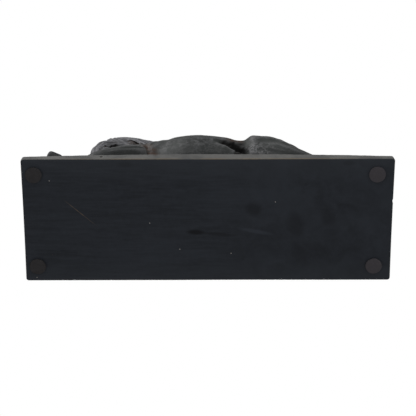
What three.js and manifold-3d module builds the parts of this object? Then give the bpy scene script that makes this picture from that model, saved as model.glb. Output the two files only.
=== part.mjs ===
// A reclining horse on a long slab, cast as one piece of dark resin, with four round pads under the slab.
// Millimetres, +Z up. The horse looks towards -X, its legs show on the -Y side, and z = 0 is under the pads.
import * as THREE from 'three';
import { mergeVertices } from 'three/addons/utils/BufferGeometryUtils.js';
import Module from 'manifold-3d';

const wasm = await Module();
wasm.setup();

// Slab. Its long edges wander inwards by hand, and its top rim draws in towards the ends.
const baseLength = 420;
const baseDepth = 152;
const baseThickness = 15.5;
const baseCornerRadius = 3;
const baseRimRadius = 1;
const baseEdgeWander = 0.4;
const baseTopDraw = 3.2;
const baseEdgePieces = 10;

// Pads
const padDiameter = 19;
const padHeight = 2.5;
const padEdgeRadius = 0.6;
const padInsetLeft = 14;
const padInsetRight = 19.5;
const padInsetSide = 19;
const padSides = 20;

// Horse. Its length sets its size: the figure is given in hundredths of that length, from the slab's middle.
const horseLength = 330;
const horseSink = 0.8;
const limbSides = 10;
const lockSides = 5;

// Hooves, in hundredths of the horse's length and as a share of that
const hoofCoronet = 2.15;
const hoofFlare = 1.42;

// Mane: a lock starts at a share of the way up the neck, sweeps back along it and falls round it by degrees.
// The locks change evenly from the highest to the lowest.
const nearManeLocks = 8;
const highestLock = { start: 1, sweep: 0.56, fall: 92, thickness: 2.2, lift: 1.2 };
const lowestLock = { start: 0.5, sweep: 0.28, fall: 46, thickness: 1.5, lift: 0.3 };
const farManeLocks = 3;
const highestFarLock = { start: 0.92, sweep: 0.22, fall: -64, thickness: 1.8, lift: 1 };
const lowestFarLock = { start: 0.42, sweep: 0.22, fall: -74, thickness: 1.8, lift: 1 };
const maneBends = 4;
const maneWave = 7;
const maneParting = 84;

// Tail: locks twisted round one another
const tailLocks = 4;
const tailSpread = 1.5;
const tailTwist = 0.55;

const ground = padHeight + baseThickness;
const unit = horseLength / 100;

const resin = { color: 0x50534f, roughness: 0.62, metalness: 0.05 };
const felt = { color: 0x2b2928, roughness: 0.95, metalness: 0 };

const point = (x, y, z) => new THREE.Vector3(x * unit, y * unit, ground + z * unit - horseSink);

// Solids

function toManifold(geometry) {
  const bare = geometry.clone();
  bare.deleteAttribute('normal');
  bare.deleteAttribute('uv');
  const welded = mergeVertices(bare, 1e-4);
  return new wasm.Manifold(new wasm.Mesh({
    numProp: 3,
    vertProperties: new Float32Array(welded.attributes.position.array),
    triVerts: new Uint32Array(welded.index.array),
  }));
}

// The casting is solid: small hollows under the hair are filled, so only its outer skin is kept
function outerSkin(corners) {
  const leader = new Map();
  const lead = (corner) => (leader.has(corner) ? lead(leader.get(corner)) : corner);
  const link = (a, b) => a !== b && leader.set(b, a);
  for (let i = 0; i < corners.length; i += 3) {
    link(lead(corners[i]), lead(corners[i + 1]));
    link(lead(corners[i]), lead(corners[i + 2]));
  }
  const leads = [...corners].map(lead);
  const counts = new Map();
  leads.forEach((at) => counts.set(at, (counts.get(at) ?? 0) + 1));
  const [outer] = [...counts].reduce((most, next) => (next[1] > most[1] ? next : most));
  return corners.filter((_, i) => leads[i] === outer);
}

function toGeometry(manifold) {
  const mesh = manifold.getMesh();
  const geometry = new THREE.BufferGeometry();
  geometry.setAttribute('position', new THREE.BufferAttribute(new Float32Array(mesh.vertProperties), 3));
  geometry.setIndex(new THREE.BufferAttribute(outerSkin(mesh.triVerts), 1));
  geometry.computeVertexNormals();
  return geometry;
}

const join = (geometries) => geometries.map(toManifold).reduce((whole, next) => whole.add(next));

// A ball drawn out along a spine. Each station is [x, y, z, half width, half height, turn in degrees], in
// hundredths of the horse's length. The form runs smoothly through them, with a rounded cap at each end.
function limb(stations, shape = {}) {
  const { sides = limbSides, rings = 2 + stations.length * 2 } = shape;
  const { capShare = 0.14, capLength = 0.7 } = shape;
  const smooth = (points) => new THREE.CatmullRomCurve3(points, false, 'catmullrom', 0.5);
  const spine = smooth(stations.map(([x, y, z]) => point(x, y, z)));
  const sizes = stations.map(([, , , w, h, turn = 0]) => new THREE.Vector3(w * unit, h * unit, turn));
  const girth = smooth(sizes);
  const geometry = new THREE.SphereGeometry(1, sides, rings);
  const position = geometry.attributes.position;
  const across = new THREE.Vector3(0, 1, 0);
  for (let i = 0; i < position.count; i += 1) {
    const x = position.getX(i);
    const z = position.getZ(i);
    const place = Math.acos(THREE.MathUtils.clamp(position.getY(i), -1, 1)) / Math.PI;
    const fromEnd = Math.min(place, 1 - place);
    const inCap = Math.min(fromEnd / capShare, 1);
    const reach = Math.sin(inCap * Math.PI / 2);
    const beyond = Math.cos(inCap * Math.PI / 2) * capLength * Math.sign(place - 0.5);
    const along = THREE.MathUtils.clamp((place - capShare) / (1 - 2 * capShare), 0, 1);
    const centre = spine.getPoint(along);
    const size = girth.getPoint(along);
    const forward = spine.getTangent(along);
    const side = across.clone().addScaledVector(forward, -across.dot(forward)).normalize();
    side.applyAxisAngle(forward, THREE.MathUtils.degToRad(size.z));
    const up = new THREE.Vector3().crossVectors(forward, side);
    const angle = Math.atan2(z, x);
    centre.addScaledVector(side, Math.cos(angle) * reach * size.x);
    centre.addScaledVector(up, Math.sin(angle) * reach * size.y);
    centre.addScaledVector(forward, beyond * Math.min(size.x, size.y));
    position.setXYZ(i, centre.x, centre.y, centre.z);
  }
  return geometry;
}

// Slab: a flat board with hand-finished edges that wander a little, rounded corners and rounded rims

function slab() {
  const halfLength = baseLength / 2;
  const halfDepth = baseDepth / 2;
  const r = baseCornerRadius;
  const outline = new THREE.Shape();
  outline.absarc(halfLength - r, halfDepth - r, r, 0, Math.PI / 2);
  outline.absarc(r - halfLength, halfDepth - r, r, Math.PI / 2, Math.PI);
  outline.absarc(r - halfLength, r - halfDepth, r, Math.PI, 1.5 * Math.PI);
  outline.absarc(halfLength - r, r - halfDepth, r, 1.5 * Math.PI, 2 * Math.PI);
  const corners = outline.getPoints(5);
  const rim = [];
  corners.forEach((from, i) => {
    const to = corners[(i + 1) % corners.length];
    const gap = from.distanceTo(to);
    const pieces = Math.max(1, Math.round(baseEdgePieces * gap / baseLength));
    for (let k = 0; k < pieces && gap > 0.01; k += 1) {
      rim.push(from.clone().lerp(to, k / pieces));
    }
  });
  const geometry = new THREE.ExtrudeGeometry(new THREE.Shape(rim), {
    depth: baseThickness - 2 * baseRimRadius,
    bevelThickness: baseRimRadius,
    bevelSize: baseRimRadius,
    bevelOffset: -baseRimRadius,
    bevelSegments: 2,
  });
  geometry.translate(0, 0, padHeight + baseRimRadius);
  const position = geometry.attributes.position;
  for (let i = 0; i < position.count; i += 1) {
    const x = position.getX(i);
    const y = position.getY(i);
    const ripple = 0.75 + 0.25 * Math.sin(13 * x / baseLength);
    const longWander = ripple * Math.cos(Math.PI * x / baseLength) ** 2;
    const shortWander = Math.cos(Math.PI * y / baseDepth) ** 2;
    const inTop = (position.getZ(i) - padHeight) / baseThickness;
    const drawIn = inTop * baseTopDraw * (2 * x / baseLength) ** 2;
    position.setY(i, y * (1 - (longWander * baseEdgeWander + drawIn) / halfDepth));
    position.setX(i, x * (1 - shortWander * baseEdgeWander / halfLength));
  }
  return geometry;
}

// Horse: trunk, neck and head

const trunk = [
  [-31.5, -7.4, 14.6, 6.8, 9.2, 12],
  [-22, -7.4, 16, 10.2, 14.4, 13],
  [-13.5, -7.7, 15.8, 12.9, 15.6, 14],
  [-3.5, -8.1, 15.4, 14.8, 15.1, 15],
  [7, -7.8, 16.8, 13.6, 13.4, 15],
  [18, -5.6, 17, 12.1, 13.4, 13],
  [29, -4.2, 15.6, 10.9, 12.4, 10],
  [38, -3, 12.8, 7.4, 9.2, 6],
];

const neck = [
  [-11, -6.2, 18, 7.6, 9.6, 10],
  [-19, -6, 21.6, 8.6, 13.4, 8],
  [-27, -7, 28.4, 7.2, 11.4, 6],
  [-33.4, -6, 36, 5.6, 8.8, 4],
  [-38, -2.8, 42.2, 4.6, 6.8, 2],
  [-41.4, 1.8, 46, 3.9, 5, 0],
];

const head = [
  [-41, 3.2, 46.8, 3.6, 4.2],
  [-44.2, 3, 43.8, 4.3, 6.2],
  [-48, 2.5, 39.2, 3.9, 5.4],
  [-52.2, 1.8, 33.6, 2.8, 3.8],
  [-55.8, 1.2, 29, 2.6, 3],
  [-58.2, 0.8, 26, 2.8, 3.1],
];
const headMiddle = 2.9;
const muzzleMiddle = 0.8;

// Shoulders and legs: the near ones stretch out along the slab's front edge, the far ones fold under

const nearShoulder = [
  [-16, -9, 26, 4.6, 6.4],
  [-21.5, -12, 19.6, 6.6, 8.8],
  [-26, -13.2, 13.4, 5.6, 7.2],
];

const farShoulder = [
  [-16, -5, 25, 4.6, 6.4],
  [-21.5, -2.6, 18.6, 6.4, 8.6],
  [-26, -0.8, 12.6, 5.4, 7],
];

const nearForeleg = [
  [-19.4, -13.6, 12, 5.2, 7],
  [-26.4, -17.4, 9.8, 5.2, 5.5],
  [-34.4, -18.4, 6.5, 3.9, 4],
  [-39, -18.2, 4.8, 3.6, 3.7],
  [-44, -17.2, 3.2, 2.3, 2.5],
  [-47.8, -17.4, 3, 2.6, 2.7],
  [-51, -18.9, 3.2, 2.1, 2.2],
];

const farForearm = [
  [-19.4, 0, 12, 5.2, 7],
  [-27.6, 3, 9, 4.8, 5],
  [-37.4, 4.6, 4.6, 3.7, 3.9],
];

const farForeCannon = [
  [-38, 5.2, 4, 3.5, 3.5],
  [-30, 8, 2.8, 2.3, 2.5],
  [-24, 9.4, 2.7, 2.6, 2.6],
  [-21.6, 9.8, 2.6, 2.1, 2.2],
];

const nearThigh = [
  [32, -7, 19, 8, 9.8],
  [24, -11.5, 19.2, 8.9, 9.8],
  [14.8, -13.8, 17.8, 8.8, 8.7],
];

const nearGaskin = [
  [16.8, -14, 15.4, 7.4, 8],
  [22.6, -14.6, 13.4, 7.2, 7.8],
  [29, -15, 10.2, 6.3, 6.7],
  [38, -15.8, 4.8, 3.7, 4.1],
];

const nearHindCannon = [
  [38.6, -16, 4.2, 3.5, 3.8],
  [30, -17.2, 3, 2.4, 2.6],
  [19.4, -18, 2.7, 2.6, 2.7],
  [14.2, -18.8, 2.6, 2.1, 2.2],
];

const farThigh = [
  [32, -1.4, 17.6, 7.6, 9.4],
  [25.6, 2.2, 16.4, 8, 9.6],
  [19.6, 4.6, 13.6, 7.4, 8.4],
];

const farGaskin = [
  [18.8, 5.2, 12.4, 6.4, 7.4],
  [23, 6.6, 10.8, 6.2, 7],
  [29.6, 8, 8, 5.2, 5.8],
  [37.4, 8.6, 4.4, 3.6, 3.9],
];

const farHindCannon = [
  [37.8, 8.8, 4.2, 3.4, 3.7],
  [30, 10.4, 2.9, 2.4, 2.5],
  [21, 11.4, 2.7, 2.5, 2.6],
  [16.4, 11.8, 2.6, 2.1, 2.2],
];

// A hoof: a short flared cup from the coronet to a flat sole, in line with its pastern
function hoof(from, to) {
  const heel = point(...from);
  const sole = point(...to);
  const length = heel.distanceTo(sole);
  const coronet = hoofCoronet * unit;
  const rim = coronet * hoofFlare;
  const wall = [[0, 0], [coronet, 0], [coronet * 1.1, 0.12], [rim, 0.88], [rim * 0.93, 1], [0, 1]];
  const profile = wall.map(([out, along]) => new THREE.Vector2(out, along * length));
  const geometry = new THREE.LatheGeometry(profile, limbSides);
  const lie = sole.clone().sub(heel).normalize();
  geometry.applyQuaternion(new THREE.Quaternion().setFromUnitVectors(new THREE.Vector3(0, 1, 0), lie));
  geometry.translate(heel.x, heel.y, heel.z);
  return geometry;
}

// Hair: each lock is a thin limb that tapers to its tip

function hairLock(places, thickness, flatness = 0.7) {
  const last = places.length - 1;
  const stations = places.map(([x, y, z], i) => {
    const swell = thickness * (0.55 + 0.75 * Math.sin(Math.PI * (0.12 + 0.8 * i / last)));
    return [x, y, z, swell * flatness, swell];
  });
  return limb(stations, { sides: lockSides, rings: places.length + 3, capShare: 0.12, capLength: 1.4 });
}

// A place on the neck's skin, by share of its run and by turn from the near side (0) to the crest (90)
function onNeck(share, turn, lift) {
  const at = THREE.MathUtils.clamp(share, 0, 1) * (neck.length - 1);
  const index = Math.min(Math.floor(at), neck.length - 2);
  const mix = at - index;
  const [low, high] = neck.slice(index, index + 2);
  const [x, y, z, width, height] = low.map((value, i) => THREE.MathUtils.lerp(value, high[i], mix));
  const run = new THREE.Vector3(high[0] - low[0], high[1] - low[1], high[2] - low[2]);
  const side = new THREE.Vector3(0, -1, 0).addScaledVector(run, run.y / run.lengthSq()).normalize();
  const crest = new THREE.Vector3().crossVectors(run, side).normalize();
  const angle = THREE.MathUtils.degToRad(turn);
  return new THREE.Vector3(x, y, z)
    .addScaledVector(side, Math.cos(angle) * (width + lift))
    .addScaledVector(crest, Math.sin(angle) * (height + lift))
    .toArray();
}

// A lock of mane starts on the crest, falls over the side and sweeps back along the neck in a wave
function maneLock(highest, lowest, down) {
  const mix = (key) => THREE.MathUtils.lerp(highest[key], lowest[key], down);
  const places = [];
  for (let i = 0; i <= maneBends; i += 1) {
    const way = i / maneBends;
    const turn = maneParting - mix('fall') * way ** 0.7 + maneWave * Math.sin(2 * Math.PI * way);
    const lift = mix('lift') * Math.sin(Math.PI * (0.1 + 0.8 * way));
    places.push(onNeck(mix('start') - mix('sweep') * way ** 1.2, turn, lift));
  }
  return hairLock(places, mix('thickness'));
}

const locksFrom = (count, highest, lowest) => (
  Array.from({ length: count }, (_, i) => maneLock(highest, lowest, i / (count - 1)))
);
const mane = [
  ...locksFrom(nearManeLocks, highestLock, lowestLock),
  ...locksFrom(farManeLocks, highestFarLock, lowestFarLock),
];

// Long locks fall over the near side of the chest on to the foreleg
const fallenLocks = [
  [
    [-29.6, -8, 39],
    [-34.2, -12.6, 34.6],
    [-37.2, -15.2, 27.2],
    [-38.7, -16.7, 18.6],
    [-39.6, -17.6, 10],
    [-39.8, -18, 6],
  ],
  [
    [-27, -9.6, 36],
    [-31, -13, 31.6],
    [-34.4, -14.8, 25],
    [-36.2, -16.2, 17.6],
    [-37, -17.4, 10.4],
    [-37.6, -18, 6],
  ],
  [
    [-27, -10.6, 31],
    [-31, -12.8, 27],
    [-33, -13.8, 22],
    [-34.2, -15.2, 15.6],
    [-34.6, -16.4, 9],
    [-34.6, -17, 5],
  ],
];

const forelocks = [
  [[-40.2, 3.2, 51], [-43.6, 2.6, 50], [-46.6, 1.8, 46], [-48.6, 1.2, 42]],
  [[-40.2, 3.6, 51], [-43.4, 4.2, 50], [-46, 4.6, 46.4], [-47.4, 4.6, 43]],
];

// The tail drops behind the rump and lies along the far side of the slab
const tailPath = [
  [36, -2.6, 20.6],
  [41.2, -2.4, 18],
  [44.2, -1, 11.5],
  [45, 3.8, 5.6],
  [41.6, 9.6, 3],
  [34, 13.6, 2.2],
  [26, 15.2, 1.6],
];

function tailLock(turn) {
  const places = tailPath.map(([x, y, z], i) => {
    const twist = turn + i * tailTwist;
    const spread = tailSpread * Math.sin(Math.PI * (0.1 + 0.75 * i / (tailPath.length - 1)));
    const out = spread * Math.cos(twist);
    return [x + out, y + out, z + spread * Math.abs(Math.sin(twist))];
  });
  return hairLock(places, 1.75, 0.85);
}

const tail = Array.from({ length: tailLocks }, (_, k) => tailLock(2 * Math.PI * k / tailLocks));

// One side of the head: ear, cheek, brow and eye
function headSide(side) {
  const at = (x, spread, z, width, height) => [x, headMiddle + side * spread, z, width, height];
  const ear = [at(-39.9, 1.9, 49, 1.1, 1.2), at(-39.9, 2.3, 51.6, 1.3, 1.3), at(-40.5, 2.5, 54.6, 0.4, 0.4)];
  const cheek = [at(-42.4, 2.2, 41.2, 2.6, 3.4), at(-45.6, 2.1, 38.6, 2.5, 3.2)];
  const brow = [at(-44.8, 3.6, 46.4, 0.7, 0.7), at(-46.6, 3.7, 45.6, 0.9, 0.8), at(-48, 3.3, 44, 0.6, 0.6)];
  const eye = [at(-46, 3.6, 44, 1, 1), at(-46.9, 3.5, 43.2, 1, 1)];
  return [
    limb(ear, { sides: lockSides }),
    limb(cheek),
    limb(brow, { sides: lockSides, rings: 5 }),
    limb(eye, { sides: 8, rings: 5 }),
  ];
}

function nostril(side) {
  const out = (spread) => muzzleMiddle + side * spread;
  const stations = [[-57.4, out(2.5), 28, 0.9, 0.9], [-58.8, out(2.3), 26.4, 0.8, 0.8]];
  return limb(stations, { sides: lockSides, rings: 5 });
}

const masses = [nearShoulder, farShoulder, nearThigh, farThigh];
const foreLimbs = [nearForeleg, farForearm, farForeCannon];
const hindLimbs = [nearGaskin, nearHindCannon, farGaskin, farHindCannon];

const horseForms = [
  limb(trunk, { sides: 22, rings: 20 }),
  limb(neck, { sides: 18, rings: 14 }),
  limb(head, { sides: 14, rings: 13 }),
  ...masses.map((stations) => limb(stations, { sides: 12 })),
  ...[...foreLimbs, ...hindLimbs].map((stations) => limb(stations)),
  hoof([-50.4, -19.1, 3.2], [-55.3, -19.8, 4.2]),
  hoof([-21.6, 9.8, 2.8], [-17.2, 10.4, 2.8]),
  hoof([13.8, -19, 2.8], [8.8, -19.8, 2.9]),
  hoof([16, 11.8, 2.8], [11.2, 12.2, 2.8]),
  ...mane,
  ...fallenLocks.map((places) => hairLock(places, 1.8)),
  ...forelocks.map((places) => hairLock(places, 0.95)),
  ...tail,
  ...headSide(-1),
  ...headSide(1),
];
const nostrils = [nostril(-1), nostril(1)];

// Pads

function pad() {
  const r = padDiameter / 2;
  const e = padEdgeRadius;
  const profile = [[0, 0], [r - e, 0], [r, e], [r, padHeight], [0, padHeight]];
  const geometry = new THREE.LatheGeometry(profile.map(([x, y]) => new THREE.Vector2(x, y)), padSides);
  geometry.rotateX(Math.PI / 2);
  return geometry;
}

// Assembly

const sculpture = new THREE.Group();

function addPiece(name, geometry, finish) {
  const mesh = new THREE.Mesh(geometry, new THREE.MeshStandardMaterial(finish));
  mesh.name = name;
  sculpture.add(mesh);
  return mesh;
}

const horse = join([slab(), ...horseForms]).subtract(join(nostrils));
addPiece('reclining_horse', toGeometry(horse), resin);

const padEnds = [['left', padInsetLeft - baseLength / 2], ['right', baseLength / 2 - padInsetRight]];
for (const [side, ySign] of [['front', -1], ['back', 1]]) {
  for (const [end, x] of padEnds) {
    const piece = addPiece(`pad_${side}_${end}`, pad(), felt);
    piece.position.set(x, ySign * (baseDepth / 2 - padInsetSide), 0);
  }
}

export default sculpture;
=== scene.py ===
import math
import random

import bmesh
import bpy
import numpy as np
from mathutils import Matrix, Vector, noise
from mathutils.bvhtree import BVHTree


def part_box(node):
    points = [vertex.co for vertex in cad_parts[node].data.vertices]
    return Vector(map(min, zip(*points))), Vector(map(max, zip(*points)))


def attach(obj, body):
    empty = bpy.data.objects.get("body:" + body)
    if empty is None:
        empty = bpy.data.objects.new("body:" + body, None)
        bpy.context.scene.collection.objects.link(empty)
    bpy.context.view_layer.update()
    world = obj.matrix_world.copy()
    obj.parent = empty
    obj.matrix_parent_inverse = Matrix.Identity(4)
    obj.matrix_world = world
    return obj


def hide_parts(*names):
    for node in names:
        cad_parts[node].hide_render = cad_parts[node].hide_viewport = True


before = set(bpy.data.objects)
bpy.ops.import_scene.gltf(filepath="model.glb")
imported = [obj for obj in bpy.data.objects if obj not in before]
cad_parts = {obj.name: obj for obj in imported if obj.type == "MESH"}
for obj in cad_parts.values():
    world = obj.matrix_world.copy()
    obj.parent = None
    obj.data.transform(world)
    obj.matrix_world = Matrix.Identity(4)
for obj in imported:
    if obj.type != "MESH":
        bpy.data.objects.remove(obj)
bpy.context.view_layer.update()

mm = 0.001
castLow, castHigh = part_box("reclining_horse")
slabThickness = 15.5 * mm
slabBottom = castLow.z
slabTop = slabBottom + slabThickness
undersideRim = slabBottom + 0.35 * mm  # where the painted underside ends
weldDistance = 0.02 * mm
# places on the figure are given in hundredths of its length
horseShare = 0.78571  # of the slab's length
horseUnit = (castHigh.x - castLow.x) * horseShare / 100
figureSink = 0.8 * mm


def onHorse(x, y, z):
    return Vector((x * horseUnit, y * horseUnit, slabTop + z * horseUnit - figureSink))


def offHorse(place):
    # the other way round: from a place to hundredths
    return place.x / horseUnit, place.y / horseUnit, (place.z - slabTop + figureSink) / horseUnit


def mixOf(low, high, share):
    return low + (high - low) * share


def smoothPath(points, steps):
    # a smooth run through the points, as a list of places
    rows = [np.array(p, float) for p in points]
    rows = [2 * rows[0] - rows[1]] + rows + [2 * rows[-1] - rows[-2]]
    places = []
    for i in range(1, len(rows) - 2):
        a, b, c, d = rows[i - 1:i + 3]
        for k in range(steps):
            t = k / steps
            places.append(0.5 * (2 * b + (c - a) * t + (2 * a - 5 * b + 4 * c - d) * t ** 2
                                 + (3 * b - a - 3 * c + d) * t ** 3))
    places.append(rows[-2])
    return places


# hair: fine strands laid over the locks of mane, forelock and tail

hair = {
    "seed": 7,
    "strandWidth": 1.3 * mm,
    "twist": 0.9,           # how far strands turn round a lock, in radians
    "nearLocks": 8,
    "farLocks": 10,
    "tailLocks": 4,
    "maneStrands": 9,       # in each lock
    "fallenStrands": 10,
    "tailStrands": 10,
    "forelockStrands": 6,
    "outerStrands": 40,     # in all
    "crestStrands": 10,
    "fallenThickness": 1.8,  # of locks, in hundredths of the horse
    "farThickness": 1.7,
    "tailThickness": 1.75,
    "forelockThickness": 0.95,
    "looseThickness": 0.3,
    "crestTurn": 84,         # degrees where near locks leave the crest, and how far they wave going down
    "waveTurn": 7,
    "outerLift": 2.4,        # how far loose strands stand off the neck
    "crestLift": 1,
    "crestWidth": 1.9,       # width over that of other strands
    "forelockWidth": 0.7,
    "tailFlatness": 0.85,
}

# from the withers up: middle of the neck, its half width and half height
neckRun = [
    (-11, -6.2, 18, 7.6, 9.6),
    (-19, -6, 21.6, 8.6, 13.4),
    (-27, -7, 28.4, 7.2, 11.4),
    (-33.4, -6, 36, 5.6, 8.8),
    (-38, -2.8, 42.2, 4.6, 6.8),
    (-41.4, 1.8, 46, 3.9, 5),
]
tailRun = [
    (36, -2.6, 20.6), (41.2, -2.4, 18), (44.2, -1, 11.5), (45, 3.8, 5.6),
    (41.6, 9.6, 3), (34, 13.6, 2.2), (26, 15.2, 1.6),
]
fallenRuns = [
    [
        (-29.6, -8, 39), (-34.2, -12.6, 34.6), (-37.2, -15.2, 27.2),
        (-38.7, -16.7, 18.6), (-39.6, -17.6, 10), (-39.8, -18, 6),
    ],
    [
        (-27, -9.6, 36), (-31, -13, 31.6), (-34.4, -14.8, 25),
        (-36.2, -16.2, 17.6), (-37, -17.4, 10.4), (-37.6, -18, 6),
    ],
    [
        (-27, -10.6, 31), (-31, -12.8, 27), (-33, -13.8, 22),
        (-34.2, -15.2, 15.6), (-34.6, -16.4, 9), (-34.6, -17, 5),
    ],
]
# mane: where a lock starts up the neck, how far down it sweeps, how many degrees it falls from the crest,
# how far it stands off, and on the near side its thickness
highestLock = np.array((1, 0.56, 92, 1.2, 2.2))
lowestLock = np.array((0.5, 0.28, 46, 0.3, 1.5))
highestFarLock = np.array((0.98, 0.22, -58, 0.7))
lowestFarLock = np.array((0.4, 0.22, -72, 0.7))
forelockRuns = [
    [(-40.2, 3.2, 51), (-43.6, 2.6, 50), (-46.6, 1.8, 46), (-48.6, 1.2, 42)],
    [(-40.2, 3.6, 51), (-43.4, 4.2, 50), (-46, 4.6, 46.4), (-47.4, 4.6, 43)],
]


def onNeck(share, turn, lift):
    # turn goes round from the near side (0) over the crest (90)
    at = min(max(share, 0), 1) * (len(neckRun) - 1)
    index = min(int(at), len(neckRun) - 2)
    low, high = np.array(neckRun[index]), np.array(neckRun[index + 1])
    x, y, z, width, height = mixOf(low, high, at - index)
    run = Vector(high[:3] - low[:3])
    side = (Vector((0, -1, 0)) + run * run.y / run.length_squared).normalized()
    crest = run.cross(side).normalized()
    angle = math.radians(turn)
    out = side * math.cos(angle) * (width + lift) + crest * math.sin(angle) * (height + lift)
    return Vector((x, y, z)) + out


def maneLockRun(start, sweep, fall, lift):
    places = []
    for i in range(13):
        way = i / 12
        turn = hair["crestTurn"] - fall * way ** 0.7 + hair["waveTurn"] * math.sin(2 * math.pi * way)
        rise = lift * math.sin(math.pi * (0.1 + 0.8 * way))
        places.append(onNeck(start - sweep * way ** 1.2, turn, rise))
    return places


def looseStrandRun(start, end, turnAtStart, turnAtEnd, lift, wave):
    # one strand that lies along the neck over the locks
    places = []
    for i in range(15):
        way = i / 14
        turn = mixOf(turnAtStart, turnAtEnd, way ** 0.6) + 3 * math.sin(6 * way + wave)
        rise = lift * abs(math.sin(math.pi * (0.12 + 0.88 * way))) ** 0.5
        places.append(onNeck(mixOf(start, end, way), turn, rise))
    return places


def tailLockRun(turn):
    places = []
    last = len(tailRun) - 1
    for i, (x, y, z) in enumerate(tailRun):
        twist = turn + i * 0.55
        spread = 1.5 * math.sin(math.pi * (0.1 + 0.75 * i / last))
        out = spread * math.cos(twist)
        places.append((x + out, y + out, z + spread * abs(math.sin(twist))))
    return smoothPath(places, 3)


def layStrands(curve, run, thickness, count, width, flatness=0.7):
    # strands lie round a lock, follow it with a slow twist and end in a point
    run = [Vector(p) for p in run]
    last = len(run) - 1
    for k in range(count):
        turn = 2 * math.pi * (k + random.uniform(-0.25, 0.25)) / count
        stretch = random.uniform(0.86, 1)
        strand = curve.splines.new("NURBS")
        strand.points.add(last)
        for i, centre in enumerate(run):
            way = i / last
            forward = (run[min(i + 1, last)] - run[max(i - 1, 0)]).normalized()
            side = (Vector((0, 1, 0)) - forward * forward.y).normalized()
            up = forward.cross(side)
            swell = thickness * (0.55 + 0.75 * math.sin(math.pi * (0.12 + 0.8 * way)))
            reach = swell * (0.86 if way < 0.9 else 0.6)
            angle = turn + hair["twist"] * way + 0.25 * math.sin(7 * way + k)
            place = centre + side * math.cos(angle) * reach * flatness + up * math.sin(angle) * reach
            strand.points[i].co = (*onHorse(*place), 1)
            taper = min(1, 0.3 + 5 * (1 - way))
            strand.points[i].radius = width * stretch * taper * mixOf(0.6, 1, math.sin(math.pi * way))
        strand.order_u = 4
        strand.use_endpoint_u = True


def hairStrands():
    random.seed(hair["seed"])
    curve = bpy.data.curves.new("hairStrands", "CURVE")
    curve.dimensions = "3D"
    curve.bevel_depth = 1
    curve.bevel_resolution = 1
    curve.resolution_u = 3
    curve.use_fill_caps = True
    width = hair["strandWidth"]
    for i in range(hair["nearLocks"]):
        down = i / (hair["nearLocks"] - 1)
        start, sweep, fall, lift, thickness = mixOf(highestLock, lowestLock, down)
        layStrands(curve, maneLockRun(start, sweep, fall, lift), thickness, hair["maneStrands"], width)
    for run in fallenRuns:
        run = [(x + 0.45 * math.sin(0.5 * z + y), y, z) for x, y, z in smoothPath(run, 3)]
        layStrands(curve, run, hair["fallenThickness"], hair["fallenStrands"], width)
    for i in range(hair["farLocks"]):
        down = i / (hair["farLocks"] - 1)
        start, sweep, fall, lift = mixOf(highestFarLock, lowestFarLock, down)
        run = maneLockRun(start, sweep, fall + 8 * (i % 2), lift)
        layStrands(curve, run, hair["farThickness"], hair["maneStrands"], width)
    for i in range(hair["outerStrands"]):
        across = i / (hair["outerStrands"] - 1)
        start, wave = random.uniform(0.9, 1), random.uniform(0, 6)
        end = random.uniform(0.16, 0.3)
        run = looseStrandRun(start, end, mixOf(86, 30, across), mixOf(62, 0, across), hair["outerLift"], wave)
        layStrands(curve, run, hair["looseThickness"], 1, width)
    for i in range(hair["crestStrands"]):
        across = i / (hair["crestStrands"] - 1)
        end = random.uniform(0.2, 0.3)
        run = looseStrandRun(1, end, mixOf(70, 124, across), mixOf(66, 120, across), hair["crestLift"], i)
        layStrands(curve, run, hair["looseThickness"], 1, width * hair["crestWidth"])
    for i in range(hair["tailLocks"]):
        run = tailLockRun(2 * math.pi * i / hair["tailLocks"])
        layStrands(curve, run, hair["tailThickness"], hair["tailStrands"], width, hair["tailFlatness"])
    for run in forelockRuns:
        run = smoothPath(run, 3)
        forelockWidth = width * hair["forelockWidth"]
        layStrands(curve, run, hair["forelockThickness"], hair["forelockStrands"], forelockWidth)
    strands = bpy.data.objects.new("hairStrands", curve)
    bpy.context.collection.objects.link(strands)
    return asMesh(strands)


# working with meshes

def asMesh(thing):
    # the object with its modifiers applied, or a curve as a mesh
    scene = bpy.context.evaluated_depsgraph_get()
    mesh = bpy.data.meshes.new_from_object(thing.evaluated_get(scene))
    made = bpy.data.objects.new(thing.name + "Mesh", mesh)
    bpy.context.collection.objects.link(made)
    bpy.data.objects.remove(thing)
    return made


def placesOf(mesh):
    places = np.empty(len(mesh.vertices) * 3, np.float32)
    mesh.vertices.foreach_get("co", places)
    return places.reshape(-1, 3).astype(float)


def normalsOf(mesh):
    normals = np.empty(len(mesh.vertices) * 3, np.float32)
    mesh.vertices.foreach_get("normal", normals)
    return normals.reshape(-1, 3).astype(float)


def setPlaces(mesh, places):
    mesh.vertices.foreach_set("co", places.astype(np.float32).ravel())
    mesh.update()


def applyModifier(thing, kind, **values):
    modifier = thing.modifiers.new(kind.title(), kind)
    for name, value in values.items():
        setattr(modifier, name, value)
    name = thing.name
    made = asMesh(thing)
    made.name = name
    return made


def treeOf(mesh):
    return BVHTree.FromPolygons([v.co.copy() for v in mesh.vertices], [p.vertices[:] for p in mesh.polygons])


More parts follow.
